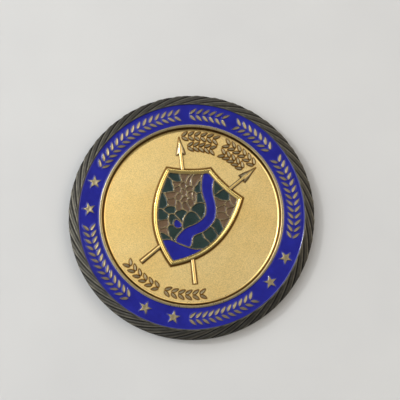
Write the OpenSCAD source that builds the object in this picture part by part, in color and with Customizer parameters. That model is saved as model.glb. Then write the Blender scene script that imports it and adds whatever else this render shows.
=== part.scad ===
// Challenge coin: a struck two-tone disc with a rope-cut edge and soft enamel fills.
// The origin is the centre of the reverse, +Z points up through the obverse, and +Y is twelve o'clock.
// Angles named "clock" run clockwise from twelve o'clock, seen from the obverse.

/* [Disc] */
// Overall diameter
coin_d = 44.45; // [38.1:0.05:50.8]
// Thickness over the rims
coin_t = 3.2; // [3:0.1:4]
// Depth of the sandblasted fields below the rims
field_drop = 0.65; // [0.5:0.05:0.8]
// Width of the raised circle between the enamel band and the field
circle_w = 0.82; // [0.6:0.02:1]
// Chamfer on the corners of the raised circle
circle_chamfer = 0.12; // [0.05:0.01:0.2]

/* [Rope edge] */
// Number of strands round the edge
strands = 40; // [30:1:48]
// Angle between a strand and the tangent
strand_angle = 23; // [18:1:30]
// Depth of the cut between two strands
cut_depth = 0.28; // [0.2:0.02:0.36]
// Height of the cylindrical land round the middle of the edge
land_h = 1.2; // [0.8:0.1:1.4]
// Width of the plain lip outside the enamel band
lip_w = 0.3; // [0.2:0.02:0.4]

/* [Enamel] */
// Depth of the pockets that hold enamel
pocket_depth = 0.55; // [0.4:0.05:0.7]
// How far the enamel lies below the metal round it
enamel_drop = 0.18; // [0.1:0.02:0.25]
// Width of the metal walls between enamel cells
wall_w = 0.2; // [0.16:0.01:0.3]

/* [Emblem] */
// Width of the rim round the shield
rim_w = 1; // [0.8:0.05:1.2]
// Height of the shield's rim above the field
rim_h = 0.6; // [0.4:0.05:0.65]
// Height of the walls inside the shield above the field
cell_wall_h = 0.36; // [0.25:0.02:0.45]
// Width of a spear's shaft
shaft_w = 0.78; // [0.5:0.02:1]
// Length of a spear's head
head_l = 3.3; // [2.6:0.1:4]
// Width of a spear's head
head_w = 1.9; // [1.5:0.1:2.2]
// Height of the spears above the field
spear_h = 0.5; // [0.3:0.05:0.6]

/* [Ornament] */
// Length of a leaf in the enamel band
leaf_l = 1.5; // [1.2:0.05:1.6]
// Width of a leaf in the enamel band
leaf_w = 0.54; // [0.4:0.02:0.6]
// Radius of a star
star_r = 1.2; // [0.9:0.05:1.4]
// Height of the sprigs on the obverse above the field
sprig_h = 0.28; // [0.2:0.02:0.4]
// Height of the reliefs on the reverse above their field
rose_h = 0.45; // [0.3:0.05:0.6]

/* [Hidden] */
$fn = 72;
R = coin_d / 2;
k = R / 22.225;                      // scales what lies on the faces with the diameter
band_ro = 0.913 * R;
band_ri = 0.745 * R;
band_mid = (band_ro + band_ri) / 2;
core_r = band_ri - circle_w * k;     // inside of the raised circles
field_z = coin_t - field_drop;       // field of the obverse
back_z = field_drop;                 // field of the reverse
root = 0.3;                          // how deep the reliefs are rooted in the metal
emblem_floor = field_z + cell_wall_h - pocket_depth;
rose_floor = back_z - rose_h + pocket_depth;
bevel_top = [band_ro + lip_w * k, coin_t];
bevel_foot = [R, coin_t / 2 + land_h / 2];
leaf_spread = 42;
sprig_spread = 34;

function clock(r, a) = r * [sin(a), cos(a)];
function turned(pts, a) = [for (p = pts) [p.x * cos(a) + p.y * sin(a), p.y * cos(a) - p.x * sin(a)]];
function moved(pts, v) = [for (p = pts) p + v];
function unit(v) = v / norm(v);
function left_of(v) = [-v.y, v.x];

// A point of the cubic curve from a to d, with handles b and c.
function bezier(a, b, c, d, t) =
    pow(1 - t, 3) * a + 3 * pow(1 - t, 2) * t * b + 3 * (1 - t) * t * t * c + pow(t, 3) * d;

// A closed smooth curve through pts, with n steps for each of them.
function smooth_loop(pts, n) = [
    for (i = [0 : len(pts) - 1])
        let (m = len(pts), a = pts[i], d = pts[(i + 1) % m],
             in_way = (d - pts[(i + m - 1) % m]) / 6, out_way = (pts[(i + 2) % m] - a) / 6)
            for (j = [0 : n - 1]) bezier(a, a + in_way, d - out_way, d, j / n)
];

// A counter-clockwise outline moved inwards by d, or outwards where d is negative, with mitred corners.
function inset(pts, d) = [
    for (i = [0 : len(pts) - 1])
        let (m = len(pts), p = pts[i],
             n1 = left_of(unit(p - pts[(i + m - 1) % m])), n2 = left_of(unit(pts[(i + 1) % m] - p)))
            p + d * (n1 + n2) / (1 + n1 * n2)
];

// Whether a line from p along +X crosses the edge from a to b, and whether p lies inside an outline.
function crosses(p, a, b) =
    (a.y > p.y) != (b.y > p.y) && p.x < (b.x - a.x) * (p.y - a.y) / (b.y - a.y) + a.x;
function inside(p, pts) = len([
    for (i = [0 : len(pts) - 1]) if (crosses(p, pts[i], pts[(i + 1) % len(pts)])) 1
]) % 2 == 1;

// What is left of the convex outline pts behind the line through m with normal n.
function clipped(pts, m, n) = [
    for (i = [0 : len(pts) - 1])
        let (p = pts[i], q = pts[(i + 1) % len(pts)], dp = (p - m) * n, dq = (q - m) * n)
            each concat(dp <= 0 ? [p] : [], dp * dq < 0 ? [p + (q - p) * dp / (dp - dq)] : [])
];

// ---------------------------------------------------------------- edge and band

// Half of the body's section: the two recessed fields, the raised circles, the bands and the bevels.
module body_section() {
    c = circle_chamfer;
    polygon([
        [0, back_z], [core_r, back_z], [core_r, c], [core_r + c, 0],
        [bevel_top.x, 0], [bevel_foot.x, coin_t - bevel_foot.y], bevel_foot, bevel_top,
        [core_r + c, coin_t], [core_r, coin_t - c], [core_r, field_z], [0, field_z]
    ]);
}

// One V-shaped cut across the upper bevel, made along a strand at three o'clock.
module strand_cut() {
    down = unit(bevel_foot - bevel_top);
    along = [down.x * sin(strand_angle), -cos(strand_angle), down.y * sin(strand_angle)];
    up = [-down.y, 0, down.x];
    side = cross(up, along);
    mid = (bevel_top + bevel_foot) / 2;
    steep = 46;
    shallow = 66;
    reach = 0.5;
    multmatrix([
        [side.x, up.x, along.x, mid.x],
        [side.y, up.y, along.y, 0],
        [side.z, up.z, along.z, mid.y],
        [0, 0, 0, 1]
    ])
        linear_extrude(9 * k, center = true)
            polygon([
                [0, -cut_depth],
                [(cut_depth + reach) * tan(shallow), reach],
                [-(cut_depth + reach) * tan(steep), reach]
            ]);
}

module strand_cuts() {
    for (i = [0 : strands - 1])
        rotate(i * 360 / strands) {
            strand_cut();
            translate([0, 0, coin_t]) rotate([180, 0, 0]) strand_cut();
        }
}

// A pointed leaf of length l and width w along +Y, with its base at the origin.
function leaf(l, w) = [
    [0, 0], [0.42 * w, 0.24 * l], [0.5 * w, 0.5 * l], [0, l], [-0.5 * w, 0.5 * l], [-0.42 * w, 0.24 * l]
];

function star(r, a) = [for (i = [0 : 9]) clock(i % 2 == 0 ? r : 0.42 * r, a + 36 * i)];

// Pairs of leaves from clock angle a0 to a1 on radius r, pointing up towards twelve o'clock.
module garland(r, a0, a1, pairs, l, w, spread) {
    for (i = [0 : pairs - 1], side = [-1, 1]) {
        a = a0 + (a1 - a0) * (i + 0.5) / pairs;
        up = a < 0 ? 90 : -90;
        base = clock(r + side * 0.14 * k, a - sign(up) * l * cos(spread) / 2 / r * 180 / PI);
        polygon(moved(turned(leaf(l, w), a + up - side * sign(up) * spread), base));
    }
}

// Garlands of the obverse, each from one clock angle to another, with its number of pairs of leaves.
garlands = [[-84, -28, 15], [-23, -1, 6], [28, 3, 7], [81, 33, 13], [120, 159, 11], [-117, -165, 13]];
star_clocks = [92.5, 108.5, 168, -175.5, -108.5, -93];

// The enamel band of the obverse: an annulus with leaves and stars standing through it.
module front_band() {
    difference() {
        circle(band_ro);
        circle(band_ri);
        for (g = garlands) garland(band_mid, g[0], g[1], g[2], leaf_l * k, leaf_w * k, leaf_spread);
        for (a = star_clocks) {
            foot_inwards = abs(a) > 150;
            polygon(moved(star(star_r * k, foot_inwards ? a + 180 : a), clock(band_mid, a)));
        }
    }
}

// The enamel band of the reverse: an annulus with twelve stars.
module back_band() {
    difference() {
        circle(band_ro);
        circle(band_ri);
        for (i = [0 : 11]) polygon(moved(star(star_r * k, 30 * i), clock(band_mid, 30 * i)));
    }
}

module front_band_enamel() {
    color("#2a2aa0")
        translate([0, 0, coin_t - pocket_depth]) linear_extrude(pocket_depth - enamel_drop) front_band();
}

module back_band_enamel() {
    color("#2a2aa0")
        translate([0, 0, enamel_drop]) linear_extrude(pocket_depth - enamel_drop) back_band();
}

// ---------------------------------------------------------------- shield

shield_top = [0, 9.4] * k;
shield_ear = [7.5, 6.5] * k;
shield_foot = [0, -9.9] * k;

// The right side of the shield from its foot up to its top, with the ear between two curves.
shield_side = concat(
    [for (i = [0 : 11]) bezier(shield_foot, [4.4, -7.2] * k, [8.6, -2.6] * k, shield_ear, i / 12)],
    [for (i = [0 : 4]) bezier(shield_ear, [5, 7] * k, [2.4, 7.9] * k, shield_top, i / 5)]
);
shield = concat(
    shield_side, [shield_top],
    [for (i = [len(shield_side) - 1 : -1 : 1]) [-shield_side[i].x, shield_side[i].y]]
);
window = inset(shield, rim_w * k);

// Waters of an invented landscape, counter-clockwise: a river, the sea that it flows to, and a lake.
west_bank = [
    [-0.9, 10.6], [-0.8, 7.4], [0.1, 4.8], [1.8, 2.6], [2.3, 0.7], [1.4, -1.1], [-0.2, -2.8], [-0.9, -5.2]
];
east_bank = [
    [0.5, -5.4], [1.9, -5.2], [1.7, -3.3], [3.3, -1.5], [4.1, 0.9],
    [3.4, 3.2], [1.9, 5.4], [1.3, 7.6], [1.6, 10.6]
];
coast = [
    [-10, -12], [10, -12], [10, -4.4], [5, -4.7], [2.8, -5.5], [0.5, -5.7], [-2, -5.6], [-4, -6.2], [-10, -5]
];
lake_shore = [[-2.3, -2.7], [-1.5, -3], [-0.9, -2.4], [-1.5, -1.9], [-2.3, -1.8]];
waters = [for (w = [concat(west_bank, east_bank), coast, lake_shore]) smooth_loop(k * w, 4)];
water_names = ["river", "sea", "lake"];

// Hill country, where the cells are small: a plateau, an eastern ridge and a western slope.
plateau_foot = [[-4.9, 4.3], [-4.6, 1.4], [-2.2, 0.4], [-0.4, 1.8], [-0.9, 4], [-2, 5.8], [-4, 5.7]];
ridge_foot = [[4.4, 4.6], [4.9, 1.2], [8, 0.6], [9, 4], [7, 7]];
slope_foot = [[-8, -2.2], [-4.6, -2], [-3.2, -3.6], [-3.2, -5.4], [-5, -7]];
hills = [for (h = [plateau_foot, ridge_foot, slope_foot]) smooth_loop(k * h, 4)];
hill_names = ["plateau", "ridge", "slope"];

function among(p, outlines) = len([for (o = outlines) if (inside(p, o)) 1]) > 0;
shore_gap = 0.42 * k;
land_edge = inset(window, 0.35 * k);
far_from_water = [for (w = waters) inset(w, -shore_gap)];
function on_land(p) = inside(p, land_edge) && !among(p, far_from_water);

// Staggered points a step apart over the shield, each moved at random by up to a share of the step.
function scattered(step, share, seed) =
    let (rows = ceil(22 * k / step), r = rands(-1, 1, 2 * rows * rows, seed))
        [for (i = [0 : rows - 1], j = [0 : rows - 1])
            let (jog = [r[2 * (i * rows + j)], r[2 * (i * rows + j) + 1]])
                [-11 * k, -11 * k] + step * ([i + (j % 2) / 2, j] + share * jog)];

meadow_seeds = [for (p = scattered(1.8 * k, 0.2, 21)) if (on_land(p) && !among(p, hills)) p];
hill_seeds = [
    for (h = hills) [for (p = scattered(1.1 * k, 0.16, 22)) if (on_land(p) && inside(p, h)) p]
];
seeds = concat(meadow_seeds, hill_seeds[0], hill_seeds[1], hill_seeds[2]);

// The land nearest to seed i, less half a wall all round.
function around(i, j = 0, pts = [[-12, -12], [12, -12], [12, 12], [-12, 12]]) =
    j == len(seeds) ? pts
    : i == j ? around(i, j + 1, pts)
    : let (way = unit(seeds[j] - seeds[i]), m = (seeds[i] + seeds[j]) / 2 - way * wall_w / 2)
        around(i, j + 1, clipped(pts, m, way));

// Straight borders bent into winding ones, the same way on both sides of each wall.
function bent(p) = p + 0.16 * k * [sin(150 * p.y / k + 40), sin(170 * p.x / k)];
function winding(pts) = [
    for (i = [0 : len(pts) - 1])
        let (a = pts[i], b = pts[(i + 1) % len(pts)], n = max(1, round(norm(b - a) / (0.75 * k))))
            for (j = [0 : n - 1]) bent(a + (b - a) * j / n)
];

module land_cell(i) {
    difference() {
        intersection() {
            polygon(winding(around(i)));
            polygon(window);
        }
        for (w = waters) polygon(inset(w, -wall_w));
    }
}

module water_cell(i) {
    intersection() {
        polygon(waters[i]);
        polygon(window);
    }
}

module emblem_cells() {
    for (i = [0 : len(seeds) - 1]) land_cell(i);
    for (i = [0 : len(waters) - 1]) water_cell(i);
}

// ---------------------------------------------------------------- relief on the centre disc

// A solid skinned over outlines with the same number of points, each given as [inset, height].
module skinned(outline, steps) {
    n = len(outline);
    m = len(steps);
    pts = [for (s = steps) for (p = inset(outline, s[0])) [p.x, p.y, s[1]]];
    polyhedron(pts, [for (i = [0 : m - 1], j = [0 : n - 1])
        let (here = i * n, above = ((i + 1) % m) * n, next = (j + 1) % n)
            each [[here + j, above + j, above + next], [here + j, above + next, here + next]]]);
}

// The shield's rounded rim, which ends just short of the cells so that the two walls never coincide.
module shield_rim() {
    w = rim_w * k - 0.05;
    top = field_z + rim_h;
    skinned(shield, [
        [0, field_z - root], [0, field_z + 0.15], [0.2 * w, top - 0.13], [0.5 * w, top],
        [0.8 * w, top - 0.13], [w, field_z + 0.15], [w, field_z - root]
    ]);
}

spear_tip = [-7.5, 12.4] * k;
spear_butt = [5.2, -11.1] * k;

// A barbed blade that rises to a peak, pointing along +X with its barbs at the origin.
module spear_head() {
    hw = head_w * k / 2;
    notch = 0.35 * k;
    blade = [[0, -hw], [head_l * k, 0], [0, hw], [notch, 0]];
    low = [for (p = blade) [p.x, p.y, field_z - root]];
    base = [for (p = blade) [p.x, p.y, field_z + 0.12]];
    walls = [for (i = [0 : 3]) let (j = (i + 1) % 4) each [[i, i + 4, j + 4], [i, j + 4, j]]];
    roof = [for (i = [0 : 3]) [i + 4, 8, (i + 1) % 4 + 4]];
    underside = [[0, 1, 3], [1, 2, 3]];
    peak = [3 * notch, 0, field_z + spear_h];
    polyhedron(concat(low, base, [peak]), concat(underside, walls, roof));
}

module spear() {
    way = spear_tip - spear_butt;
    shaft_l = norm(way) - head_l * k;
    sw = shaft_w * k / 2;
    rise = root + 0.1;
    translate([spear_butt.x, spear_butt.y, 0]) rotate([0, 0, atan2(way.y, way.x)]) {
        translate([0, 0, field_z - root])
            rotate([90, 0, 90])
                linear_extrude(shaft_l + 0.8 * k)
                    polygon([
                        [-sw, 0], [sw, 0], [sw, rise], [0.5 * sw, rise + spear_h - 0.18],
                        [-0.5 * sw, rise + spear_h - 0.18], [-sw, rise]
                    ]);
        translate([shaft_l, 0, 0]) spear_head();
    }
}

// Both spears, cut off where they pass behind the shield's rim.
module crossed_spears() {
    difference() {
        union() {
            spear();
            mirror([1, 0, 0]) spear();
        }
        translate([0, 0, field_z - 1]) linear_extrude(4) polygon(inset(shield, 0.7 * rim_w * k));
    }
}

module sprig(r, a0, a1, pairs) {
    garland(r, a0, a1, pairs, 1.2 * k, 0.48 * k, sprig_spread);
}

// Two rows of sprigs over the shield and one under it, mirrored about twelve o'clock.
module front_sprigs() {
    for (side = [-1, 1]) {
        sprig(0.655 * R, side * 29, side * 2, 6);
        sprig(0.567 * R, side * 25, side * 2, 5);
        sprig(0.64 * R, side * 147, side * 178, 6);
    }
}

// One of the eight points of the compass on the reverse: its whole kite, or the half that holds enamel.
function rose_tip(i) = clock((i % 2 == 0 ? 11 : 7.2) * k, 45 * i);
function rose_notch(i) = clock(3.2 * k, 45 * i + 22.5);
function rose_point(i) = [[0, 0], rose_notch(i - 1), rose_tip(i), rose_notch(i)];
function rose_half(i) = inset([rose_notch(i), rose_tip(i), [0, 0]], 0.2 * k);

// The reverse's reliefs: the compass rose, a line round it and a wreath outside the line.
module back_relief() {
    for (i = [0 : 7]) polygon(rose_point(i));
    difference() {
        circle(12.6 * k);
        circle(12.2 * k);
    }
    for (side = [-1, 1]) garland(13.9 * k, side * 168, side * 4, 15, 1.5 * k, 0.62 * k, sprig_spread);
}

// The one struck and plated piece of metal that carries all the enamel.
module struck_body() {
    color("#d9b45c")
        difference() {
            union() {
                rotate_extrude() body_section();
                translate([0, 0, field_z - root])
                    linear_extrude(root + cell_wall_h)
                        polygon(inset(shield, rim_w * k / 2));
                shield_rim();
                crossed_spears();
                translate([0, 0, field_z - root]) linear_extrude(root + sprig_h) front_sprigs();
                translate([0, 0, back_z - rose_h]) linear_extrude(rose_h + root) back_relief();
            }
            strand_cuts();
            translate([0, 0, coin_t - pocket_depth]) linear_extrude(pocket_depth + 1) front_band();
            translate([0, 0, -1]) linear_extrude(pocket_depth + 1) back_band();
            translate([0, 0, emblem_floor]) linear_extrude(2) emblem_cells();
            translate([0, 0, -1])
                linear_extrude(rose_floor + 1)
                    for (i = [0 : 7]) polygon(rose_half(i));
        }
}

module in_emblem() {
    translate([0, 0, emblem_floor]) linear_extrude(pocket_depth - enamel_drop) children();
}

module meadow_enamel(i) {
    color("#2f4a44") in_emblem() land_cell(i);
}

module hill_enamel(i) {
    start = len(meadow_seeds) + (i > 0 ? len(hill_seeds[0]) : 0) + (i > 1 ? len(hill_seeds[1]) : 0);
    color("#7d5f4a") in_emblem() for (j = [0 : len(hill_seeds[i]) - 1]) land_cell(start + j);
}

module water_enamel(i) {
    color("#2a2aa0") in_emblem() water_cell(i);
}

module rose_enamel(i) {
    color("#2a2aa0")
        translate([0, 0, back_z - rose_h + enamel_drop])
            linear_extrude(pocket_depth - enamel_drop)
                polygon(rose_half(i));
}

function meadow_name(i) = str("meadow_enamel_", i + 1);
function rose_name(i) = str("rose_enamel_", i + 1);

struck_body();
front_band_enamel();
back_band_enamel();
for (i = [0 : len(waters) - 1])
    water_enamel(i);
for (i = [0 : len(hills) - 1])
    hill_enamel(i);
for (i = [0 : len(meadow_seeds) - 1])
    meadow_enamel(i);
for (i = [0 : 7])
    rose_enamel(i);
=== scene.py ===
import math
from collections import defaultdict

import bpy
import numpy as np
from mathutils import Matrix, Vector, geometry, kdtree


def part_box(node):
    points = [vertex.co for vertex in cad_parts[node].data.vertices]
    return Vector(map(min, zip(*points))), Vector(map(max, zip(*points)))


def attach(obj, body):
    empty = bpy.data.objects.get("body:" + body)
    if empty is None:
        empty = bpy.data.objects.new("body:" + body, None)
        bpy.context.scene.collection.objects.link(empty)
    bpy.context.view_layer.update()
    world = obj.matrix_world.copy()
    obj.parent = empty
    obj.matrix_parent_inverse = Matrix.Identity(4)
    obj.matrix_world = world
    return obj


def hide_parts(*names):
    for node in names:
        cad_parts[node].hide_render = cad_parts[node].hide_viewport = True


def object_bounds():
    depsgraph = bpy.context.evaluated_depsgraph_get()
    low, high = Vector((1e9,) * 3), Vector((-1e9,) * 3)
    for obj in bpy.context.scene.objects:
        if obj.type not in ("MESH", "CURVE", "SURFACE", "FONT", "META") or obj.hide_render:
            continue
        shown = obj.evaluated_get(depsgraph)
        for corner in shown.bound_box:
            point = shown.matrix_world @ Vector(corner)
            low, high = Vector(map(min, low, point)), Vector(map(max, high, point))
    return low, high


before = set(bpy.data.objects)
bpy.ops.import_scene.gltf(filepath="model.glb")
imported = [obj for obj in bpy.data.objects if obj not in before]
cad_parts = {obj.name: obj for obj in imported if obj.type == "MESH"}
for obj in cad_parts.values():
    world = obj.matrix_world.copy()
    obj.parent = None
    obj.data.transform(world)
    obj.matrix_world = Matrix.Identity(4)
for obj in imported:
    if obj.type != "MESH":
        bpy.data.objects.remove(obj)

# A struck challenge coin with soft enamel, lying on a pale floor.
# Shapes are worked out in millimetres in the frame's own axes, and turned into metres when a mesh is made.
# Each face of the coin is built looking at it: heights are above the far face, so THICK is the top of the
# raised lines on either face, and the reverse's shapes are turned over when their meshes are made.

CAD_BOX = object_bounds()
MM = 0.001
R = CAD_BOX[1].x / MM
THICK = CAD_BOX[1].z / MM
K = R / 22.225                  # widths are given for this radius
OBVERSE, REVERSE = 1, -1
FACE_NAME = {OBVERSE: "obverse", REVERSE: "reverse"}

# Radii of the enamel band, the raised circle inside it and the rope edge's bevel outside it.
BAND_OUT = 0.913 * R
BAND_IN = 0.745 * R
CIRCLE_IN = BAND_IN - 0.82 * K
BEVEL_TOP = BAND_OUT + 0.3 * K
LAND_HALF = 0.6                 # half the height of the plain land round the edge

# Heights.
FIELD = THICK - 0.65
ROOT = FIELD - 0.05             # reliefs start a little below the field
POCKET = 0.55
POCKET_FOOT = THICK - POCKET
ENAMEL_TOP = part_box("front_band_enamel")[1].z / MM
CELL_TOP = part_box("sea_enamel")[1].z / MM
WALL_TOP = FIELD + 0.36
WALL_FOOT = WALL_TOP - POCKET
SPRIG_TOP = FIELD + 0.28
BACK_RELIEF = THICK - 0.2
BAND_RELIEF = THICK - 0.005     # leaves and stars end just under the circle's top

# The shield's rim, and the spears from butt to tip; the right spear mirrors the left.
RIM_WIDTH = 1.0 * K
SPEAR_TIP = np.array([-7.5, 12.4]) * K
SPEAR_BUTT = np.array([5.2, -11.1]) * K
SHAFT_HALF = 0.39 * K
SHAFT_END = 2.6 * K             # how far behind the tip the shaft ends, inside the head
HEAD_LENGTH = 3.3 * K
HEAD_HALF = 0.95 * K
HEAD_NOTCH = 0.35 * K

# The reverse's compass rose and the thin circle round it.
ROSE_POINTS = 8
ROSE_TURN = 360 / ROSE_POINTS
ROSE_REACH = (11 * K, 7.2 * K)  # the long and the short points
ROSE_INNER = 3.2 * K
LINE_IN, LINE_OUT = 12.2 * K, 12.6 * K

# The rope edge.
STRANDS = 40
STRAND_SWEEP = 14.0             # degrees that a strand turns through while it crosses the bevel
STRAND_STEPS = 28               # mesh columns for each strand
CUT_DEPTH = 0.25
CUT_START, CUT_END = -0.08, 1.2     # where the cuts run out, from 0 at the bevel's top to 1 at its foot
CUT_FADE_IN, CUT_FADE_OUT = 0.14, 0.2
LIP_TONE = 0.62

# How finely outlines are drawn and measured.
FLAT = 0.004                    # a face within this of a height lies at that height
SAMPLE_STEP = 0.02
LEAF_CORNERS = 6                # in the CAD's outline of a leaf
LEAF_STEPS = 11
SHIELD_STEPS = 30


# ---------------------------------------------------------------- outlines

def face_loops(node, z):
    """The closed outlines of a CAD node's flat faces at height z, in millimetres."""
    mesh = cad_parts[node].data
    co = np.array([v.co for v in mesh.vertices]) / MM
    uses = defaultdict(int)
    for poly in mesh.polygons:
        ids = list(poly.vertices)
        if np.abs(co[ids, 2] - z).max() > FLAT:
            continue
        ring = [tuple(np.round(co[i, :2], 4)) for i in ids]
        for a, b in zip(ring, ring[1:] + ring[:1]):
            uses[(a, b)] += 1
    onward = defaultdict(list)
    for a, b in uses:
        if (b, a) not in uses:
            onward[a].append(b)
    loops = []
    while onward:
        start = next(iter(onward))
        loop, at = [start], start
        while True:
            nexts = onward[at]
            at = nexts.pop()
            if not nexts:
                del onward[loop[-1]]
            if at == start:
                break
            loop.append(at)
        if len(loop) > 2:
            loops.append(np.array(loop))
    return loops


def area(p):
    x, y = p[:, 0], p[:, 1]
    return 0.5 * np.sum(x * np.roll(y, -1) - np.roll(x, -1) * y)


def anticlockwise(p):
    return p if area(p) > 0 else p[::-1]


def chaikin(p, times, keep):
    """A closed outline with its corners cut off, a number of times."""
    for _ in range(times):
        q = np.roll(p, -1, axis=0)
        p = np.stack([p * (1 - keep) + q * keep, p * keep + q * (1 - keep)], 1).reshape(-1, 2)
    return p


def resampled(p, step):
    """A closed outline with points about a step apart, its own points kept."""
    out = []
    for a, b in zip(p, np.roll(p, -1, axis=0)):
        n = max(1, int(round(np.linalg.norm(b - a) / step)))
        out.extend(a + (b - a) * i / n for i in range(n))
    return np.array(out)


def inset(p, d):
    """An anticlockwise outline moved inwards by d, with mitred corners."""
    before, after = p - np.roll(p, 1, axis=0), np.roll(p, -1, axis=0) - p
    n1 = np.stack([-before[:, 1], before[:, 0]], 1) / np.linalg.norm(before, axis=1)[:, None]
    n2 = np.stack([-after[:, 1], after[:, 0]], 1) / np.linalg.norm(after, axis=1)[:, None]
    return p + d * (n1 + n2) / (1 + (n1 * n2).sum(1))[:, None]


def inside(points, loop):
    """Which points lie inside a closed outline."""
    lo, hi = loop.min(0), loop.max(0)
    near = np.all((points >= lo) & (points <= hi), axis=1)
    hit = np.zeros(len(points), bool)
    p = points[near]
    odd = np.zeros(len(p), bool)
    for a, b in zip(loop, np.roll(loop, -1, axis=0)):
        if a[1] != b[1]:
            cross = (b[0] - a[0]) * (p[:, 1] - a[1]) / (b[1] - a[1]) + a[0]
            odd ^= ((a[1] > p[:, 1]) != (b[1] > p[:, 1])) & (p[:, 0] < cross)
    hit[near] = odd
    return hit


def circle(r, n):
    t = np.arange(n) * 2 * math.pi / n
    return np.stack([r * np.cos(t), r * np.sin(t)], 1)


def clock(r, a):
    """The point at radius r and clock angle a, in degrees clockwise from twelve o'clock."""
    return np.array([r * math.sin(math.radians(a)), r * math.cos(math.radians(a))])


def bezier(a, b, c, d, n):
    t = (np.arange(n) / n)[:, None]
    return (1 - t) ** 3 * a + 3 * (1 - t) ** 2 * t * b + 3 * (1 - t) * t * t * c + t ** 3 * d


def directions(a, b):
    """The unit vector from a to b, and the one to its left."""
    way = (b - a) / np.linalg.norm(b - a)
    return way, np.array([-way[1], way[0]])


# ---------------------------------------------------------------- meshes

class Builder:
    """Gathers vertices, faces and tones for one mesh."""

    def __init__(self):
        self.verts, self.faces, self.tones = [], [], []

    def add(self, verts, faces, tones):
        base = len(self.verts)
        self.verts.extend(map(tuple, verts))
        self.faces.extend(tuple(base + i for i in f) for f in faces)
        self.tones.extend(tones)

    def rings(self, rings, tones, capped=False):
        """Skins over rings of the same number of points; a tone for each ring, or for each of its points."""
        n = len(rings[0])
        faces = [
            (i * n + j, i * n + (j + 1) % n, (i + 1) * n + (j + 1) % n, (i + 1) * n + j)
            for i in range(len(rings) - 1) for j in range(n)
        ]
        if capped:
            faces.append(tuple(range(n - 1, -1, -1)))
            faces.append(tuple((len(rings) - 1) * n + j for j in range(n)))
        tones = np.repeat(tones, n) if np.ndim(tones) == 1 else np.ravel(tones)
        self.add(np.concatenate(rings), faces, tones)


def piece(name, build, node, look, side, smooth, toned=True):
    """A mesh object from a builder's millimetres, standing for a CAD node and riding on the coin."""
    verts, faces = np.array(build.verts, float), build.faces
    if side == REVERSE:
        verts = verts * [1, 1, -1] + [0, 0, THICK]
        faces = [f[::-1] for f in faces]
    mesh = bpy.data.meshes.new(name)
    mesh.from_pydata((verts * MM).tolist(), [], faces)
    mesh.validate()
    if toned:
        tones = np.array(build.tones, np.float32)
        mesh.attributes.new("tone", "FLOAT", "POINT").data.foreach_set("value", tones)
    mesh.polygons.foreach_set("use_smooth", [True] * len(mesh.polygons))
    mesh.set_sharp_from_angle(angle=math.radians(smooth))
    obj = bpy.data.objects.new(name, mesh)
    bpy.context.scene.collection.objects.link(obj)
    mesh.materials.append(look)
    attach(obj, "root")
    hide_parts(node)


def gold_piece(name, build, look, side=OBVERSE, smooth=40):
    """A part of the struck body's surface."""
    piece(name, build, "struck_body", look, side, smooth)


def enamel_piece(build, node, slot, look, side=OBVERSE):
    """A CAD node's enamel."""
    piece(node + "_fill", build, node, look, side, 40, toned=False)


def at_height(p, h):
    return np.column_stack([p, np.broadcast_to(h, len(p))])


def lathe(build, profile, n):
    """A ring turned from a closed profile of (radius, height, tone), with n points round it."""
    loop = (profile + profile[:1])[::-1]
    build.rings([at_height(circle(r, n), h) for r, h, _ in loop], [tone for _, _, tone in loop])


def triangulated(outer, holes, grid):
    """Triangles of the region between an outline and its holes, over the outlines' points and the grid's."""
    loops = [anticlockwise(outer)] + [anticlockwise(h) for h in holes]
    points = np.concatenate(loops + ([grid] if len(grid) else []))
    edges, start = [], 0
    for loop in loops:
        n = len(loop)
        edges += [(start + i, start + (i + 1) % n) for i in range(n)]
        start += n
    co, _, tris, _, _, _ = geometry.delaunay_2d_cdt([Vector(p) for p in points], edges, [], 0, 1e-6)
    co = np.array([tuple(c) for c in co])
    tris = np.array([t for t in tris if len(t) == 3])
    mid = co[tris].mean(1)
    keep = inside(mid, loops[0])
    for h in loops[1:]:
        keep &= ~inside(mid, h)
    tris = tris[keep]
    a, b, c = co[tris[:, 0]], co[tris[:, 1]], co[tris[:, 2]]
    turn = (b[:, 0] - a[:, 0]) * (c[:, 1] - a[:, 1]) - (b[:, 1] - a[:, 1]) * (c[:, 0] - a[:, 0])
    tris[turn < 0] = tris[turn < 0][:, ::-1]
    return co, tris[np.abs(turn) > 1e-9]


def boundary(tris):
    """The directed edges that only one triangle uses."""
    seen = {}
    for t in tris:
        for a, b in ((t[0], t[1]), (t[1], t[2]), (t[2], t[0])):
            seen[(a, b)] = True
    return [(a, b) for a, b in seen if (b, a) not in seen]


def add_plate(build, co, tris, top, floor, tones):
    """A closed plate: triangles at the top's heights, the same ones at the floor, and walls between."""
    n = len(co)
    faces = [tuple(t) for t in tris] + [tuple(n + i for i in t[::-1]) for t in tris]
    faces += [(b, a, n + a, n + b) for a, b in boundary(tris)]
    verts = np.concatenate([at_height(co, top), at_height(co, floor)])
    build.add(verts, faces, np.concatenate([tones, tones]))


def distances(points, loops):
    """How far each point is from the nearest of the outlines."""
    samples = np.concatenate([resampled(loop, SAMPLE_STEP) for loop in loops])
    tree = kdtree.KDTree(len(samples))
    for i, s in enumerate(samples):
        tree.insert((s[0], s[1], 0), i)
    tree.balance()
    return np.array([tree.find((p[0], p[1], 0))[2] for p in points])


def hexagonal(lo, hi, step):
    """Staggered grid points over a rectangle."""
    xs = np.arange(lo[0], hi[0], step)
    ys = np.arange(lo[1], hi[1], step * 0.866)
    gx, gy = np.meshgrid(xs, ys)
    gx = gx + (np.arange(len(ys)) % 2)[:, None] * step / 2
    return np.stack([gx.ravel(), gy.ravel()], 1)


def creeping(level, rise, reach):
    """The height of enamel that climbs by rise at its edges, falling off with the distance over reach."""
    return lambda co, d: level + rise * np.exp(-d / reach)


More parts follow.
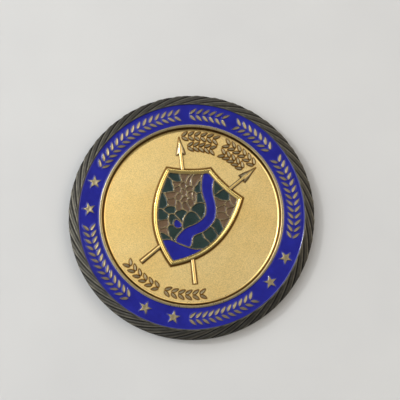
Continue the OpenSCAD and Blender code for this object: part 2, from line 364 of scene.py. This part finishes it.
def slab(build, outer, holes, spacing, floor, height, tone=np.ones_like, margin=0.4, collars=()):
    """A closed slab over a region: its top's height and tone follow the distance from the outlines.

    The grid inside keeps margin spacings clear of the outlines. Where the top curves up to them, collars
    are the distances at which rings of points follow them instead.
    """
    collar_step, collar_clear = 0.1, 0.7
    grid = hexagonal(outer.min(0), outer.max(0), spacing)
    clear = spacing * margin
    if collars:
        near = [inset(anticlockwise(outer), c) for c in collars]
        near += [inset(anticlockwise(h), -c) for h in holes for c in collars]
        near = [resampled(ring, collar_step) for ring in near]
        grid = grid[distances(grid, near) > collars[0]]
        grid = np.concatenate([grid] + near)
        clear = collars[0] * collar_clear
    keep = inside(grid, outer)
    for h in holes:
        keep &= ~inside(grid, h)
    grid = grid[keep]
    if len(grid):
        grid = grid[distances(grid, [outer] + holes) > clear]
    co, tris = triangulated(outer, holes, grid)
    d = distances(co, [outer] + holes)
    add_plate(build, co, tris, height(co, d), floor, tone(d))


# ---------------------------------------------------------------- materials

def material(name):
    m = bpy.data.materials.new(name)
    m.use_nodes = True
    nodes, links = m.node_tree.nodes, m.node_tree.links
    return m, nodes, links, nodes["Principled BSDF"]


def noise(nodes, links, scale, detail=3.0, rough=0.6):
    """A noise texture on the object's own position; scale is in features per metre."""
    where = nodes.new("ShaderNodeTexCoord")
    tex = nodes.new("ShaderNodeTexNoise")
    tex.inputs["Scale"].default_value = scale
    tex.inputs["Detail"].default_value = detail
    tex.inputs["Roughness"].default_value = rough
    links.new(where.outputs["Object"], tex.inputs["Vector"])
    return tex.outputs["Fac"]


def ramp(nodes, links, value, stops):
    """A colour ramp; each stop is a place and a colour or a grey."""
    r = nodes.new("ShaderNodeValToRGB")
    el = r.color_ramp.elements
    while len(el) < len(stops):
        el.new(0.5)
    for e, (pos, col) in zip(el, stops):
        e.position = pos
        e.color = (*col, 1) if isinstance(col, tuple) else (col, col, col, 1)
    links.new(value, r.inputs["Fac"])
    return r.outputs["Color"]


def mixed(nodes, links, factor, a, b, blend):
    m = nodes.new("ShaderNodeMix")
    m.data_type = "RGBA"
    m.blend_type = blend
    m.inputs["Factor"].default_value = factor
    links.new(a, m.inputs["A"])
    links.new(b, m.inputs["B"])
    return m.outputs["Result"]


def bump(nodes, links, shader, height, distance, strength):
    b = nodes.new("ShaderNodeBump")
    b.inputs["Distance"].default_value = distance
    b.inputs["Strength"].default_value = strength
    links.new(height, b.inputs["Height"])
    links.new(b.outputs["Normal"], shader.inputs["Normal"])


def tone_of(nodes):
    """The mesh's tone: 0 in a dark recess, 1 on a rubbed crown. On the raised circle it also paints
    highlights and shade, and on the fields it adds painted shade to the stain at the foot of the reliefs.
    """
    a = nodes.new("ShaderNodeAttribute")
    a.attribute_name = "tone"
    return a.outputs["Fac"]


GOLD = (0.94, 0.66, 0.24)
GOLD_PALE = (0.99, 0.75, 0.33)
GOLD_POLISHED = (0.90, 0.66, 0.23)
GOLD_WORN = (0.50, 0.415, 0.245)
GOLD_DEEP = (0.30, 0.19, 0.08)
# The next two colours are the antique stain and patina of recesses, and they also paint shade: at the foot
# of the fields' reliefs and down the raised circle's wall.
STAIN_AND_SHADE = (0.36, 0.23, 0.11)
PATINA_AND_SHADE = (0.045, 0.030, 0.018)


def sandblasted_gold():
    """Grained gold, darkened where the tone is low, by an antique stain together with painted shade."""
    m, nodes, links, shader = material("sandblasted_gold")
    shader.inputs["Metallic"].default_value = 1.0
    broad = noise(nodes, links, 90, detail=2.0)
    grain = noise(nodes, links, 5200, rough=0.75)
    colour = ramp(nodes, links, broad, [(0.3, GOLD), (0.7, GOLD_PALE)])
    speckle = ramp(nodes, links, grain, [(0.34, 0.74), (0.6, 1.0)])
    colour = mixed(nodes, links, 1.0, colour, speckle, "MULTIPLY")
    dark = ramp(nodes, links, tone_of(nodes), [(0.0, PATINA_AND_SHADE), (0.45, STAIN_AND_SHADE), (1.0, 1.0)])
    colour = mixed(nodes, links, 1.0, colour, dark, "MULTIPLY")
    links.new(colour, shader.inputs["Base Color"])
    links.new(ramp(nodes, links, grain, [(0.3, 0.36), (0.7, 0.48)]), shader.inputs["Roughness"])
    bump(nodes, links, shader, grain, distance=0.00003, strength=0.7)
    return m


def raised_gold(name, tones, gloss):
    """Gold on the raised lines: its colour follows the tone, and gloss is the range of its roughness."""
    m, nodes, links, shader = material(name)
    shader.inputs["Metallic"].default_value = 1.0
    worn = noise(nodes, links, 900)
    fine = noise(nodes, links, 4200, detail=2.0, rough=0.5)
    colour = ramp(nodes, links, tone_of(nodes), tones)
    rubbed = ramp(nodes, links, worn, [(0.3, 0.85), (0.7, 1.0)])
    links.new(mixed(nodes, links, 1.0, colour, rubbed, "MULTIPLY"), shader.inputs["Base Color"])
    links.new(ramp(nodes, links, fine, [(0.3, gloss[0]), (0.7, gloss[1])]), shader.inputs["Roughness"])
    bump(nodes, links, shader, worn, distance=0.000008, strength=0.4)
    return m


def rope_metal():
    """Antiqued plating: bronze where the strands are rubbed, near black in the cuts."""
    m, nodes, links, shader = material("antique_rope_metal")
    shader.inputs["Metallic"].default_value = 1.0
    tone = tone_of(nodes)
    rub = noise(nodes, links, 900, detail=4.0, rough=0.65)
    fine = noise(nodes, links, 5200)
    colour = ramp(nodes, links, mixed(nodes, links, 0.32, tone, rub, "MIX"), [
        (0.12, (0.014, 0.0135, 0.013)), (0.42, (0.039, 0.037, 0.034)),
        (0.66, (0.080, 0.075, 0.064)), (0.92, (0.25, 0.23, 0.175)),
    ])
    links.new(colour, shader.inputs["Base Color"])
    links.new(ramp(nodes, links, fine, [(0.3, 0.38), (0.7, 0.56)]), shader.inputs["Roughness"])
    bump(nodes, links, shader, fine, distance=0.000025, strength=0.5)
    return m


def enamel(name, base, light, flecks=0.0):
    """Baked enamel: a coloured body with faint clouds and specks under a clear gloss."""
    m, nodes, links, shader = material(name)
    cloud = noise(nodes, links, 420)
    speck = noise(nodes, links, 7000, detail=1.0)
    colour = ramp(nodes, links, cloud, [(0.32, base), (0.72, light)])
    if flecks:
        spots = ramp(nodes, links, speck, [(0.45, 1.0), (0.62, 1 - flecks)])
        colour = mixed(nodes, links, 1.0, colour, spots, "MULTIPLY")
    links.new(colour, shader.inputs["Base Color"])
    links.new(ramp(nodes, links, speck, [(0.3, 0.09), (0.7, 0.17)]), shader.inputs["Roughness"])
    shader.inputs["IOR"].default_value = 1.5
    shader.inputs["Coat Weight"].default_value = 0.4
    shader.inputs["Coat Roughness"].default_value = 0.06
    bump(nodes, links, shader, noise(nodes, links, 1500, detail=2.0), distance=0.000012, strength=0.5)
    return m


SAND = sandblasted_gold()
POLISH = raised_gold(
    "polished_gold", [(0.0, PATINA_AND_SHADE), (0.45, GOLD_DEEP), (0.9, GOLD_POLISHED)], gloss=(0.20, 0.27))
SATIN = raised_gold(
    "satin_gold", [(0.0, PATINA_AND_SHADE), (0.4, GOLD_DEEP), (0.9, GOLD_WORN)], gloss=(0.30, 0.42))
# On the raised circle this ramp also paints light: its brightest stop is the painted highlight along the
# fillet, and its darkest stops are the painted shade down the wall.
BORDER = raised_gold(
    "border_gold", [(0.0, PATINA_AND_SHADE), (0.4, GOLD_DEEP), (0.8, GOLD_WORN), (1.0, GOLD)], gloss=(0.27, 0.30))
ROPE = rope_metal()
BLUE = enamel("blue_enamel", (0.005, 0.006, 0.20), (0.010, 0.013, 0.27))
GREEN = enamel("green_enamel", (0.010, 0.026, 0.022), (0.021, 0.044, 0.036), flecks=0.25)
BROWN = enamel("brown_enamel", (0.12, 0.072, 0.036), (0.19, 0.116, 0.062), flecks=0.35)


# ---------------------------------------------------------------- body: fields, circles and rope edge

def raised_circle(side):
    """The circle between the band and the field: a fillet, a sloped wall and a flat worn top, with a painted
    highlight along the fillet and just under the top, and painted shade down the wall.
    """
    inner, outer = CIRCLE_IN, BAND_IN + 0.02
    # Each point is an offset in radius, one in height, and a tone.
    # The fillet's high tones paint a highlight along the wall's foot, and the low tones up the wall paint
    # shade on it.
    fillet = [
        (-0.24, -0.1, 0.3), (-0.24, 0, 0.7), (-0.18, 0.015, 1.0), (-0.08, 0.055, 1.0), (0, 0.11, 1.0),
        (0.03, 0.15, 0.4), (0.07, 0.22, 0.1),
    ]
    # The shoulder carries the painted shade on up the wall, then a painted highlight just under the flat
    # top.
    shoulder = [(0.30, -0.14, 0.1), (0.34, -0.08, 0.3), (0.38, -0.03, 0.9), (0.43, 0, 0.85)]
    lip = [(-0.12, 0, 0.8), (-0.06, -0.015, 0.8), (-0.02, -0.06, 0.5), (0, -0.18, 0.2)]
    profile = [(inner + r, FIELD + h, tone) for r, h, tone in fillet]
    profile += [(inner + r, THICK + h, tone) for r, h, tone in shoulder]
    profile += [(outer + r, THICK + h, tone) for r, h, tone in lip]
    profile += [(outer, POCKET_FOOT, 0.1), (inner, POCKET_FOOT - 0.05, 0.1)]
    build = Builder()
    lathe(build, profile, 360)
    gold_piece(f"raised_circle_{FACE_NAME[side]}", build, BORDER, side, smooth=50)


def strand_profile(x):
    """Depth of the cut, from 0 at a strand's crown to 1 in the deepest groove; x counts strands."""
    groove_half, split_at, split_half, split_depth, lean_depth = 0.2, 0.52, 0.12, 0.3, 0.36
    x = x % 1.0
    groove = np.clip(1 - np.minimum(x, 1 - x) / groove_half, 0, 1) ** 0.8
    split = split_depth * np.clip(1 - np.abs(x - split_at) / split_half, 0, 1)
    lean = lean_depth * (1 - x)
    return np.clip(np.maximum(groove, split) + lean * (1 - groove), 0, 1)


def rope_section():
    """Half of the edge's section, from the band's pocket to the land, and the bevel's outward normal.

    Each point has a radius, a height and its place on the bevel, which is None where there are no cuts.
    """
    slope = np.array([R - BEVEL_TOP, -(THICK / 2 - LAND_HALF)])
    normal = np.array([-slope[1], slope[0]]) / np.linalg.norm(slope)
    section = [
        (BAND_OUT - 0.01, POCKET_FOOT, None),
        (BAND_OUT, THICK - 0.09, None),
        (BAND_OUT + 0.05, THICK - 0.01, None),
    ]
    section += [(BEVEL_TOP + slope[0] * s, THICK + slope[1] * s, s) for s in np.linspace(CUT_START, 1, 27)]
    section += [(R, THICK / 2 + LAND_HALF * 0.6, 1.08), (R, THICK / 2 + LAND_HALF * 0.3, CUT_END)]
    return section, normal


def rope_edge():
    """The whole edge: two rope-cut bevels and the plain land between them."""
    n = STRANDS * STRAND_STEPS
    theta = np.arange(n) * 2 * math.pi / n
    section, normal = rope_section()
    rings, tones = [], []
    for side in (OBVERSE, REVERSE):
        face_rings, face_tones = [], []
        for r, h, s in section:
            if s is None:
                rr, hh, tone = np.full(n, r), np.full(n, h), np.full(n, LIP_TONE)
            else:
                phase = (np.degrees(theta) * side + STRAND_SWEEP * s) / (360 / STRANDS)
                groove = strand_profile(phase)
                fade = np.clip((s - CUT_START) / CUT_FADE_IN, 0, 1)
                fade = fade * np.clip((CUT_END - s) / CUT_FADE_OUT, 0, 1)
                depth = CUT_DEPTH * groove * fade
                rr = np.minimum(r - depth * normal[0], R)
                hh = np.minimum(h - depth * normal[1], THICK)
                tone = 1 - groove * (0.35 + 0.65 * fade)
            z = hh if side == OBVERSE else THICK - hh
            face_rings.append(np.column_stack([rr * np.cos(theta), rr * np.sin(theta), z]))
            face_tones.append(tone)
        rings += face_rings[::side]
        tones += face_tones[::side]
    m = len(rings)
    faces = [
        (i * n + j, (i + 1) % m * n + j, (i + 1) % m * n + (j + 1) % n, i * n + (j + 1) % n)
        for i in range(m) for j in range(n)
    ]
    build = Builder()
    build.add(np.concatenate(rings), faces, np.concatenate(tones))
    gold_piece("rope_edge", build, ROPE, smooth=60)


def field_disc(side, reliefs):
    """The sandblasted field, darkened at the foot of the circle and of the reliefs that stand on it: an
    antique stain together with painted shade.
    """
    rim = circle(CIRCLE_IN + 0.06, 300)
    near_rim = [circle(CIRCLE_IN - d, 300) for d in (0.05, 0.12)]
    coarse_step, fine_step, fine_reach, rim_clear = 0.36, 0.12, 0.34, 0.2
    coarse, fine = (hexagonal((-R, -R), (R, R), step) for step in (coarse_step, fine_step))
    coarse = coarse[np.hypot(*coarse.T) < CIRCLE_IN - rim_clear]
    fine = fine[np.hypot(*fine.T) < CIRCLE_IN - rim_clear]
    fine = fine[distances(fine, reliefs) < fine_reach]
    co, tris = triangulated(rim, [], np.concatenate([coarse, fine] + near_rim))
    edge = CIRCLE_IN - np.hypot(*co.T)
    foot = distances(co, reliefs)
    # Painted shade, together with the antique stain: the tone falls towards the foot of the circle and of
    # the reliefs.
    tone = np.clip(0.6 + edge / 0.2, 0, 1) * np.clip(0.05 + foot / 0.24, 0, 1)
    build = Builder()
    add_plate(build, co, tris, FIELD, THICK / 2 + 0.02, tone)
    gold_piece(f"field_{FACE_NAME[side]}", build, SAND, side, smooth=35)


# ---------------------------------------------------------------- leaves and stars

def leaf_axis(loop):
    """Base, tip and width of a leaf from its six-point outline."""
    gaps = np.linalg.norm(loop[:, None] - loop[None], axis=2)
    i, j = np.unravel_index(gaps.argmax(), gaps.shape)
    others = [k for k in range(len(loop)) if k not in (i, j)]
    if gaps[i, others].min() > gaps[j, others].min():
        i, j = j, i
    base, tip = loop[i], loop[j]
    _, across = directions(base, tip)
    return base, tip, 2 * np.abs((loop - base) @ across).max()


def leaf_places():
    """Places along a leaf, from 0 at the base to 1 at the tip, closer together at its ends."""
    return (1 - np.cos(np.linspace(0, np.pi, LEAF_STEPS))) / 2


def leaf_width(t):
    """A leaf's width at a place along it, as a share of its widest."""
    return np.sin(np.pi * t ** 0.8) ** 0.75 * (1 - 0.12 * t)


def leaf_outline(base, tip, width):
    _, across = directions(base, tip)
    t = leaf_places()
    w = width / 2 * leaf_width(t)
    middle = base + (tip - base) * t[:, None]
    right = middle - across * w[:, None]
    left = middle + across * w[:, None]
    return np.concatenate([right, left[-2:0:-1]])


def add_leaf(build, base, tip, width, foot, top, crown):
    """A leaf standing from foot to top, with flanks that round over by the crown, and a sunk midrib."""
    _, across = directions(base, tip)
    full = top - foot
    # Each point is a share of the half width, a drop below the top, and a tone.
    flank = [
        (-1.0, full, 0.0), (-1.0, crown, 0.12), (-0.82, crown * 0.35, 0.45),
        (-0.5, 0.0, 1.0), (-0.16, 0.02, 0.85),
    ]
    section = flank + [(0.0, 0.10, 0.45)] + [(-x, drop, tone) for x, drop, tone in flank[::-1]]
    places = leaf_places()
    least_width = 0.012
    widths = np.maximum(width / 2 * leaf_width(places), least_width)
    verts, tones = [], []
    for t, w in zip(places, widths):
        ends = min(1.0, 6 * min(t, 1 - t) + 0.15)
        for x, drop, tone in section:
            p = base + (tip - base) * t + across * w * x
            verts.append((p[0], p[1], top - min(drop + crown * 0.8 * (1 - ends), full)))
            tones.append(tone * (0.5 + 0.5 * ends))
    m, last = len(section), (LEAF_STEPS - 1) * len(section)
    faces = [(i + j, i + m + j, i + m + j + 1, i + j + 1) for i in range(0, last, m) for j in range(m - 1)]
    faces += [(i + m, i, i + m - 1, i + 2 * m - 1) for i in range(0, last, m)]
    faces += [tuple(range(m)), tuple(last + j for j in range(m - 1, -1, -1))]
    build.add(verts, faces, tones)


def add_star(build, loop, foot, top):
    """A star with rounded shoulders, dished a little towards its centre."""
    loop = anticlockwise(loop)
    # Each ring is an inset, a drop below the top, and a tone.
    shoulder = [
        (0.0, top - foot, 0.0), (0.0, 0.16, 0.3), (0.02, 0.08, 0.6), (0.06, 0.025, 0.9), (0.12, 0.0, 1.0),
    ]
    rings = [at_height(inset(loop, d), top - drop) for d, drop, _ in shoulder]
    centre, dish = loop.mean(0), 0.05
    rings.append(at_height(centre + (inset(loop, 0.12) - centre) * 0.45, top - dish))
    build.rings(rings, [tone for _, _, tone in shoulder] + [0.8], capped=True)


def band(side, node):
    """A face's enamel band, with the leaves and stars that stand in the holes of the CAD's enamel."""
    z = ENAMEL_TOP if side == OBVERSE else THICK - ENAMEL_TOP
    leaves, stars, holes = Builder(), Builder(), []
    for loop in face_loops(node, z):
        if np.hypot(*loop.mean(0)) < 1.0:
            continue            # one of the band's own two outlines, which centre on the coin
        if len(loop) == LEAF_CORNERS:
            base, tip, width = leaf_axis(loop)
            holes.append(leaf_outline(base, tip, width * 1.02))
            # A little wider than its hole, so that no gap shows.
            add_leaf(leaves, base, tip, width * 1.05, POCKET_FOOT, BAND_RELIEF, crown=0.13)
        else:
            holes.append(anticlockwise(loop))
            add_star(stars, loop, POCKET_FOOT, BAND_RELIEF)
    for build, what in ((leaves, "band_leaves"), (stars, "band_stars")):
        if build.verts:
            gold_piece(f"{what}_{FACE_NAME[side]}", build, SATIN, side)

    meniscus = creeping(ENAMEL_TOP - 0.02, rise=0.08, reach=0.06)

    def height(co, d):
        r = np.hypot(*co.T)
        return meniscus(co, np.minimum(d, np.minimum(BAND_OUT - r, r - BAND_IN).clip(0)))

    fill = Builder()
    outer = circle(BAND_OUT + 0.015, 480)
    inner = circle(BAND_IN - 0.015, 400)
    slab(fill, outer, [inner] + holes, 0.17, POCKET_FOOT, height, collars=(0.06, 0.14))
    enamel_piece(fill, node, "blue_enamel", BLUE, side)


# ---------------------------------------------------------------- emblem

def shield_outline(n):
    """The shield, anticlockwise from its foot; n points along each long side."""
    top, ear, foot = np.array([0, 9.4]), np.array([7.5, 6.5]), np.array([0, -9.9])
    right = np.concatenate([
        bezier(foot, np.array([4.4, -7.2]), np.array([8.6, -2.6]), ear, n),
        bezier(ear, np.array([5, 7]), np.array([2.4, 7.9]), top, n // 2),
    ])
    left = right[1:][::-1] * [-1, 1]
    return np.concatenate([right, [top], left]) * K


def shield_rim():
    """The shield's rim: a crest with a broad slope inwards, and a steeper one outwards, dark at its foot."""
    outline = shield_outline(44)
    # Each point is a share of the rim's width, a height above the field, and a tone.
    section = [
        (0.0, -0.1, 0.0), (0.0, 0.06, 0.0), (0.03, 0.16, 0.08), (0.10, 0.32, 0.2), (0.2, 0.46, 0.42),
        (0.32, 0.56, 0.85), (0.42, 0.595, 1.0), (0.52, 0.595, 1.0), (0.68, 0.54, 1.0), (0.86, 0.42, 0.95),
        (0.95, 0.32, 0.7), (1.0, 0.2, 0.3), (1.0, -0.1, 0.0), (0.0, -0.1, 0.0),
    ]
    rings = [at_height(inset(outline, RIM_WIDTH * across), FIELD + h) for across, h, _ in section]
    build = Builder()
    build.rings(rings, [tone for _, _, tone in section])
    gold_piece("shield_rim", build, POLISH, smooth=30)


def soft_cell(loop):
    """A cell's outline with its corners softened as a struck die leaves them."""
    return chaikin(anticlockwise(loop), times=2, keep=0.22)


def enamel_of(node):
    """The slot and the material of one of the emblem's enamels."""
    if node.startswith("meadow"):
        return "green_enamel", GREEN
    if node.split("_")[0] in ("plateau", "ridge", "slope"):
        return "brown_enamel", BROWN
    return "blue_enamel", BLUE


def emblem():
    """The metal walls of the shield and the enamel in its cells."""
    cell_nodes = sorted(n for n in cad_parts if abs(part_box(n)[1].z / MM - CELL_TOP) < 0.01)
    window = inset(shield_outline(SHIELD_STEPS), RIM_WIDTH * 0.72)
    cells = {n: [soft_cell(loop) for loop in face_loops(n, CELL_TOP)] for n in cell_nodes}
    holes = [cell for group in cells.values() for cell in group]

    round_in, round_down = 0.085, 0.09

    def rounded_top(co, d):
        near = np.clip(d / round_in, 0, 1)
        return WALL_TOP - round_down * (1 - np.sqrt(1 - (1 - near) ** 2))

    def wall_tone(d):
        return np.clip(0.3 + d / 0.15, 0, 0.85)

    build = Builder()
    slab(build, window, holes, 0.07, WALL_FOOT, rounded_top, wall_tone, margin=0.35)
    gold_piece("shield_walls", build, BORDER)

    meniscus = creeping(CELL_TOP - 0.015, rise=0.09, reach=0.06)
    for node, group in cells.items():
        fill = Builder()
        for cell in group:
            slab(fill, inset(cell, -0.01), [], 0.1, WALL_FOOT, meniscus, collars=(0.05, 0.12))
        enamel_piece(fill, node, *enamel_of(node))


def spear_ends(mirror):
    return SPEAR_TIP * [mirror, 1], SPEAR_BUTT * [mirror, 1]


def add_shaft(build, a, b):
    """A half-round bar from a to b, lying on the field, its ends drawn in a little."""
    way, across = directions(a, b)
    length = np.linalg.norm(b - a)
    # Each point is a place across the shaft, a height, and a tone.
    side = [(SHAFT_HALF, ROOT, 0.0), (SHAFT_HALF, FIELD + 0.08, 0.05)]
    arc = [math.radians(180 * i / 10) for i in range(11)]
    section = side + [
        (SHAFT_HALF * math.cos(t), FIELD + 0.1 + 0.32 * math.sin(t), max(0.1, 1.5 * math.sin(t) - 0.4))
        for t in arc
    ] + [(-y, h, tone) for y, h, tone in side[::-1]]
    end, drawn_in = 0.06, 0.86
    rings = []
    for along, scale in ((0, drawn_in), (end, 1.0), (length - end, 1.0), (length, drawn_in)):
        points = [a + way * along + across * y * scale for y, _, _ in section]
        rings.append(np.array([(*p, ROOT + (h - ROOT) * scale) for p, (_, h, _) in zip(points, section)]))
    build.rings(rings, [[tone for _, _, tone in section]] * len(rings), capped=True)


def add_spear_head(build, point, way):
    """A barbed blade with a ridge along it, its tip at point."""
    across = np.array([-way[1], way[0]])
    length, notch = HEAD_LENGTH, HEAD_NOTCH
    # Shares of the head's length and half width, from the barbs towards the tip.
    one_edge = [(0, 1.0), (0.30, 0.80), (0.68, 0.36)]
    edge = [(length * t, -HEAD_HALF * w) for t, w in one_edge] + [(length, 0)]
    edge += [(length * t, HEAD_HALF * w) for t, w in one_edge[::-1]] + [(notch, 0)]
    # Each point is a place along the head, one across it, and a height above the field.
    ridge = [
        (notch * 1.6, -0.12, 0.40), (length * 0.32, -0.1, 0.5), (length * 0.68, -0.05, 0.42),
        (length - 0.12, 0, 0.26), (length * 0.68, 0.05, 0.42), (length * 0.32, 0.1, 0.5),
        (notch * 1.6, 0.12, 0.40), (notch * 1.4, 0, 0.40),
    ]

    def at(x, y, h):
        return (*(point + way * (x - length) + across * y), h)

    build.rings([
        np.array([at(x, y, ROOT) for x, y in edge]),
        np.array([at(x, y, FIELD + 0.12) for x, y in edge]),
        np.array([at(x * 0.985 + 0.02, y * 0.9, FIELD + 0.19) for x, y in edge]),
        np.array([at(x, y, FIELD + h) for x, y, h in ridge]),
    ], [0.0, 0.1, 0.4, 1.0], capped=True)


def spears():
    """Two crossed spears, each a shaft on either side of the shield and a head."""
    outline = inset(shield_outline(SHIELD_STEPS), RIM_WIDTH * 0.5)
    for mirror, name in ((1, "left"), (-1, "right")):
        tip, butt = spear_ends(mirror)
        way, _ = directions(butt, tip)
        along = np.arange(0, np.linalg.norm(tip - butt), 0.05)
        hidden = along[inside(butt + way * along[:, None], outline)]
        build = Builder()
        add_shaft(build, butt, butt + way * hidden[0])
        add_shaft(build, butt + way * hidden[-1], tip - way * SHAFT_END)
        add_spear_head(build, tip, way)
        gold_piece(f"spear_{name}", build, BORDER, smooth=35)


# ---------------------------------------------------------------- reliefs on the fields

def sprig_loops(side):
    """The outlines of a field's leaves, from the flat tops of the body's leaves."""
    z = SPRIG_TOP if side == OBVERSE else THICK - BACK_RELIEF
    return [loop for loop in face_loops("struck_body", z) if len(loop) == LEAF_CORNERS]


def wedge(a, b, half):
    """The outline of a strip that narrows from a to its tip at b."""
    across = np.array([a[1] - b[1], b[0] - a[0]]) / np.linalg.norm(b - a) * half
    return np.array([a - across, b, a + across])


def rose_outline():
    points = []
    for i in range(ROSE_POINTS):
        points += [clock(ROSE_REACH[i % 2], ROSE_TURN * i), clock(ROSE_INNER, ROSE_TURN * (i + 0.5))]
    return np.array(points)


def relief_feet(side):
    """Outlines of everything that stands on a field."""
    feet = [leaf_outline(*leaf_axis(loop)) for loop in sprig_loops(side)]
    if side == REVERSE:
        return feet + [circle(LINE_IN, 200), circle(LINE_OUT, 200), rose_outline()]
    feet.append(shield_outline(SHIELD_STEPS))
    for mirror in (1, -1):
        tip, butt = spear_ends(mirror)
        feet.append(wedge(butt, tip, SHAFT_HALF))
        feet.append(wedge(tip - (tip - butt) * 0.12, tip, 0.7 * K))     # the head
    return feet


def field_leaves(side):
    """The sprigs standing on a field."""
    top = SPRIG_TOP if side == OBVERSE else BACK_RELIEF
    build = Builder()
    for loop in sprig_loops(side):
        base, tip, width = leaf_axis(loop)
        add_leaf(build, base, tip, width * 1.08, ROOT, top, crown=0.14)
    gold_piece(f"field_leaves_{FACE_NAME[side]}", build, SATIN, side)


def compass_rose():
    """The reverse's ridged compass rose: one half of each point metal, the other a pocket of blue enamel."""
    metal = Builder()
    top = BACK_RELIEF
    meniscus = creeping(top - 0.19, rise=0.09, reach=0.09)
    for i in range(ROSE_POINTS):
        centre, tip = np.zeros(2), clock(ROSE_REACH[i % 2], ROSE_TURN * i)
        left, right = (clock(ROSE_INNER, ROSE_TURN * (i + half)) for half in (-0.5, 0.5))
        solid_half = at_height(np.array([centre, left, tip]), ROOT)
        crest = np.array([(*centre, top), (*left, top - 0.24), (*tip, top - 0.2)])
        metal.rings([solid_half[::-1], crest[::-1]], [0.0, 1.0], capped=True)
        outer = anticlockwise(np.array([centre, tip, right]))
        inner = inset(outer, 0.2 * K)
        metal.rings([
            at_height(outer, ROOT), at_height(outer, top - 0.03), at_height(inset(outer, 0.05), top),
            at_height(inset(outer, 0.15 * K), top), at_height(inner, top - 0.05), at_height(inner, ROOT),
            at_height(outer, ROOT),
        ], [0.0, 0.5, 1.0, 1.0, 0.6, 0.0, 0.0])
        fill = Builder()
        slab(fill, inset(inner, -0.01), [], 0.16, ROOT, meniscus)
        enamel_piece(fill, f"rose_enamel_{i + 1}", "blue_enamel", BLUE, REVERSE)
    gold_piece("compass_rose", metal, POLISH, REVERSE, smooth=30)


def reverse_line():
    """The thin raised circle round the compass rose."""
    mid, half = (LINE_IN + LINE_OUT) / 2, (LINE_OUT - LINE_IN) / 2
    arc = [math.radians(180 * i / 8) for i in range(9)]
    profile = [(LINE_IN, ROOT, 0.0)]
    profile += [
        (mid - half * math.cos(a), BACK_RELIEF - 0.2 + 0.2 * math.sin(a), 0.4 + 0.6 * math.sin(a))
        for a in arc
    ]
    profile.append((LINE_OUT, ROOT, 0.0))
    build = Builder()
    lathe(build, profile, 300)
    gold_piece("reverse_line", build, POLISH, REVERSE, smooth=50)


# ---------------------------------------------------------------- the coin

rope_edge()
for face, node in ((OBVERSE, "front_band_enamel"), (REVERSE, "back_band_enamel")):
    raised_circle(face)
    field_disc(face, relief_feet(face))
    band(face, node)
    field_leaves(face)
shield_rim()
emblem()
spears()
compass_rose()
reverse_line()


# ---------------------------------------------------------------- floor, light and camera

# The photo's viewing angle in degrees, the distance in metres, and the lens in millimetres.
AZIMUTH, ELEVATION, DISTANCE = 22.0, 83.7, 0.140
LENS, SENSOR = 69.5, 36.0
SHIFT = (0.0212, 0.0403)
FLOOR_HALF = 1.2


def pale_floor():
    mesh = bpy.data.meshes.new("floor")
    s = FLOOR_HALF
    mesh.from_pydata([(-s, -s, 0), (s, -s, 0), (s, s, 0), (-s, s, 0)], [], [(0, 1, 2, 3)])
    obj = bpy.data.objects.new("floor", mesh)
    bpy.context.scene.collection.objects.link(obj)
    m, nodes, links, shader = material("pale_floor")
    cloud = noise(nodes, links, 30)
    paper = ramp(nodes, links, cloud, [(0.3, (0.61, 0.61, 0.61)), (0.7, (0.65, 0.65, 0.645))])
    links.new(paper, shader.inputs["Base Color"])
    shader.inputs["Roughness"].default_value = 0.7
    mesh.materials.append(m)


def area_light(name, place, size, power, colour):
    """A rectangular light, in metres and watts, that faces the coin."""
    data = bpy.data.lights.new(name, "AREA")
    data.shape = "RECTANGLE"
    data.size, data.size_y = size
    data.energy = power
    data.color = colour
    obj = bpy.data.objects.new(name, data)
    obj.location = place
    obj.rotation_mode = "QUATERNION"
    obj.rotation_quaternion = Vector(place).to_track_quat("Z", "Y")
    bpy.context.scene.collection.objects.link(obj)


def unit_towards(azimuth, elevation):
    a, e = math.radians(azimuth), math.radians(elevation)
    return Vector((math.sin(a) * math.cos(e), -math.cos(a) * math.cos(e), math.sin(e)))


def photo_camera():
    data = bpy.data.cameras.new("camera")
    data.lens = LENS
    data.sensor_width = SENSOR
    data.clip_start, data.clip_end = 0.005, 10
    data.shift_x, data.shift_y = SHIFT
    obj = bpy.data.objects.new("camera", data)
    back = unit_towards(AZIMUTH, ELEVATION)
    obj.location = Vector((0, 0, THICK * MM / 2)) + back * DISTANCE
    obj.rotation_mode = "QUATERNION"
    obj.rotation_quaternion = (-back).to_track_quat("-Z", "Y")
    bpy.context.scene.collection.objects.link(obj)
    bpy.context.scene.camera = obj


def studio():
    world = bpy.data.worlds.new("studio")
    world.use_nodes = True
    background = world.node_tree.nodes["Background"]
    background.inputs["Color"].default_value = (0.96, 0.96, 0.97, 1)
    background.inputs["Strength"].default_value = 0.25
    bpy.context.scene.world = world
    area_light("key", (-0.62, -0.10, 0.62), (0.95, 0.95), 5.6, (0.97, 1.0, 1.0))
    area_light("back", (-0.05, 0.70, 0.50), (0.8, 0.3), 1.5, (0.97, 0.98, 1.0))
    area_light("fill", (0.50, 0.30, 0.66), (0.6, 0.6), 2.2, (1.0, 0.87, 0.70))
    area_light("front", (-0.3, -0.6, 0.45), (0.5, 0.3), 0.3, (1.0, 0.98, 0.96))
    area_light("glint", (-0.30, 0.0, 0.32), (0.03, 0.03), 0.4, (1.0, 1.0, 1.0))
    bpy.context.scene.view_settings.view_transform = "Standard"


pale_floor()
photo_camera()
studio()
